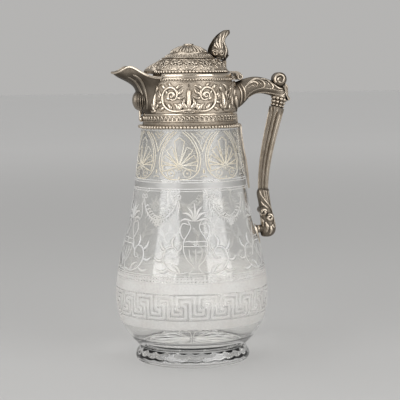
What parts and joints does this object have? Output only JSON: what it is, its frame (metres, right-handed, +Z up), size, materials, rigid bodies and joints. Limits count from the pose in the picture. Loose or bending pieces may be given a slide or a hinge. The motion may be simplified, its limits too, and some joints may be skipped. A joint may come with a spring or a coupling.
{
  "type": "claret jug",
  "caption": "Tall glass jug with a tapered silver collar, pouring spout, hinged domed lid with a leaf thumbpiece, and a cast column handle.",
  "frame": {"origin": "centre of the flat underside of the foot", "axes": "+Z up along the jug's axis; -X towards the lip of the spout; +X towards the handle; Y across, parallel to the hinge pin"},
  "size_m": [0.1539, 0.13, 0.28],
  "materials": {
    "glass": "clear blown and cut glass with etched ornament",
    "silver_plain": "polished silver, softly worn",
    "silver_chased": "cast and chased silver with dark oxide in the recesses",
    "plaster": "matt plaster",
    "pin": "drawn wire"
  },
  "bodies": {
    "jug": {"glass_body": "glass", "neck_cement": "plaster", "mount_collar": "silver_plain", "collar_bead_rim": "silver_chased", "collar_leaf_band": "silver_chased", "collar_wire_band": "silver_plain", "collar_frieze": "silver_chased", "collar_dot_band": "silver_chased", "rim_moulding": "silver_plain", "spout": "silver_plain", "lip_wire": "silver_plain", "spout_boss": "silver_chased", "spout_drop": "silver_chased", "hinge_lug": "silver_plain", "hinge_pin": "pin", "handle_root_plate": "silver_chased", "handle_drop_bar": "silver_chased", "handle_arch": "silver_chased", "handle_volute": "silver_chased", "handle_outer_leaf": "silver_chased", "bead_capital": "silver_chased", "handle_column": "silver_chased", "handle_terminal": "silver_chased", "terminal_leaf_plate": "silver_chased", "back_lappet": "silver_chased"},
    "lid": {"lid_shell": "silver_chased", "lid_beak": "silver_chased", "lid_bead_rim": "silver_chased", "lid_bezel": "silver_plain", "lid_ornament_band": "silver_chased", "lid_fluted_cap": "silver_chased", "lid_button": "silver_plain", "hinge_strap": "silver_plain", "thumb_stem": "silver_chased", "thumbpiece": "silver_chased"}
  },
  "joints": [
    {"name": "lid_hinge", "type": "hinge", "parent": "jug", "child": "lid", "pos_m": [0.0424, 0, 0.2402], "axis": [0, 1, 0], "range_deg": [0, 85]}
  ]
}
